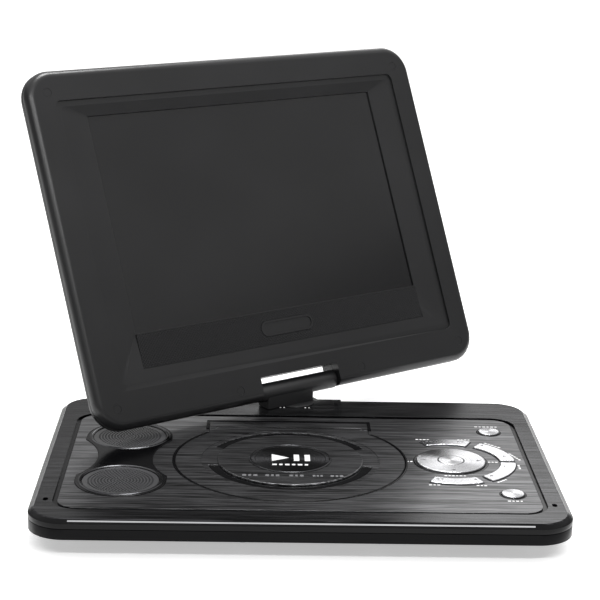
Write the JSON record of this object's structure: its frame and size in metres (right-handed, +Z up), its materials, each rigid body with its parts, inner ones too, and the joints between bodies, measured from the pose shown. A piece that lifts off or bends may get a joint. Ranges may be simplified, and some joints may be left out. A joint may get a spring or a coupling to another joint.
{
  "type": "portable dvd player",
  "caption": "Portable disc player: flat base with disc door, speakers and keys, and a screen lid that swivels and tilts on one rear hinge.",
  "frame": {"origin": "middle of the base's flat underside, 1.5 mm above the feet's resting plane", "axes": "+X to the right of a user facing the keys, +Y to the rear where the hinge is, +Z up"},
  "size_m": [0.3014, 0.3451, 0.2207],
  "materials": {
    "satin_black": "satin",
    "gloss_black": "glossy",
    "brushed_black": "brushed",
    "spun_silver": "spun",
    "screen_glass": "glossy",
    "rubber": "matte",
    "steel": "satin",
    "zinc": "satin",
    "board": "satin",
    "cell": "satin",
    "lens": "glossy",
    "brass": "satin"
  },
  "bodies": {
    "base": {"bottom_shell": "gloss_black", "top_cover": "satin_black", "deck_panel": "brushed_black", "speaker_surround": "gloss_black", "speaker_grille_rear": "satin_black", "speaker_grille_front": "satin_black", "speaker_driver_rear": "zinc", "speaker_driver_front": "zinc", "rubber_feet": "rubber", "base_screws": "steel", "battery_door": "satin_black", "battery_pack": "cell", "main_board": "board", "key_board": "board", "disc_well": "satin_black", "loader_chassis": "zinc", "loader_dampers": "rubber", "spindle_motor": "zinc", "guide_rods": "steel", "sled_motor": "zinc", "door_hinge_cover": "satin_black", "headphone_jack": "gloss_black", "av_jack": "gloss_black", "dc_inlet": "gloss_black", "usb_port": "steel", "card_slot": "gloss_black"},
    "spindle": {"spindle_hub": "satin_black"},
    "drive_screw": {"sled_screw": "steel"},
    "sled": {"pickup_sled": "satin_black", "pickup_lens": "lens"},
    "door": {"disc_door": "brushed_black", "door_ring": "gloss_black", "door_centre": "satin_black", "door_badge": "spun_silver", "door_hinge_pins": "steel"},
    "catch": {"door_catch": "satin_black"},
    "dial_ring_body": {"dial_ring": "spun_silver"},
    "centre_key_body": {"centre_key": "spun_silver"},
    "arc_key_rear_body": {"arc_key_rear": "spun_silver"},
    "arc_key_right_rear_body": {"arc_key_right_rear": "spun_silver"},
    "arc_key_right_front_body": {"arc_key_right_front": "spun_silver"},
    "arc_key_front_body": {"arc_key_front": "spun_silver"},
    "round_key_rear_body": {"round_key_rear": "spun_silver"},
    "round_key_front_body": {"round_key_front": "spun_silver"},
    "switch": {"power_switch": "satin_black"},
    "swivel": {"swivel_turntable": "satin_black", "hinge_barrel": "satin_black", "swivel_shaft": "steel", "friction_washer": "brass", "swivel_nut": "steel", "tilt_pins": "steel"},
    "lid": {"lid_bezel": "satin_black", "lid_back_cover": "satin_black", "lid_trim": "satin_black", "lid_badge": "satin_black", "screen_window": "screen_glass", "lcd_panel": "zinc", "lid_board": "board", "lid_brackets": "steel", "screw_plugs": "satin_black"}
  },
  "joints": [
    {"name": "spindle_spin", "type": "hinge", "parent": "base", "child": "spindle", "pos_m": [-0.0046, -0.0068, 0.012], "axis": [0, 0, 1], "continuous": true},
    {"name": "screw_turn", "type": "hinge", "parent": "base", "child": "drive_screw", "pos_m": [-0.04, 0.0047, 0.0074], "axis": [1, 0, 0], "range_deg": [0, 3725]},
    {"name": "sled_slide", "type": "slide", "parent": "base", "child": "sled", "axis": [-1, 0, 0], "range_m": [0, 0.031]},
    {"name": "door_open", "type": "hinge", "parent": "base", "child": "door", "pos_m": [-0.0046, 0.0465, 0.0184], "axis": [1, 0, 0], "range_deg": [-58, 0]},
    {"name": "catch_slide", "type": "slide", "parent": "base", "child": "catch", "axis": [0, -1, 0], "range_m": [0, 0.0015], "stiffness_N_per_m": 150},
    {"name": "dial_ring_press", "type": "slide", "parent": "base", "child": "dial_ring_body", "axis": [0, 0, -1], "range_m": [0, 0.0005], "stiffness_N_per_m": 600},
    {"name": "centre_key_press", "type": "slide", "parent": "base", "child": "centre_key_body", "axis": [0, 0, -1], "range_m": [0, 0.0005], "stiffness_N_per_m": 600},
    {"name": "arc_key_rear_press", "type": "slide", "parent": "base", "child": "arc_key_rear_body", "axis": [0, 0, -1], "range_m": [0, 0.0005], "stiffness_N_per_m": 600},
    {"name": "arc_key_right_rear_press", "type": "slide", "parent": "base", "child": "arc_key_right_rear_body", "axis": [0, 0, -1], "range_m": [0, 0.0005], "stiffness_N_per_m": 600},
    {"name": "arc_key_right_front_press", "type": "slide", "parent": "base", "child": "arc_key_right_front_body", "axis": [0, 0, -1], "range_m": [0, 0.0005], "stiffness_N_per_m": 600},
    {"name": "arc_key_front_press", "type": "slide", "parent": "base", "child": "arc_key_front_body", "axis": [0, 0, -1], "range_m": [0, 0.0005], "stiffness_N_per_m": 600},
    {"name": "round_key_rear_press", "type": "slide", "parent": "base", "child": "round_key_rear_body", "axis": [0, 0, -1], "range_m": [0, 0.0005], "stiffness_N_per_m": 600},
    {"name": "round_key_front_press", "type": "slide", "parent": "base", "child": "round_key_front_body", "axis": [0, 0, -1], "range_m": [0, 0.0005], "stiffness_N_per_m": 600},
    {"name": "switch_slide", "type": "slide", "parent": "base", "child": "switch", "axis": [0, 1, 0], "range_m": [0, 0.004]},
    {"name": "swivel_turn", "type": "hinge", "parent": "base", "child": "swivel", "pos_m": [0, 0.097, 0.019], "axis": [0, 0, 1], "range_deg": [-216, 54]},
    {"name": "lid_tilt", "type": "hinge", "parent": "swivel", "child": "lid", "pos_m": [0, 0.097, 0.0292], "axis": [-0.809, -0.5878, 0], "range_deg": [-114, 66]}
  ],
  "couplings": [
    {"joint": "screw_turn", "follows": "sled_slide", "rad_per_m": 2094.4}
  ]
}
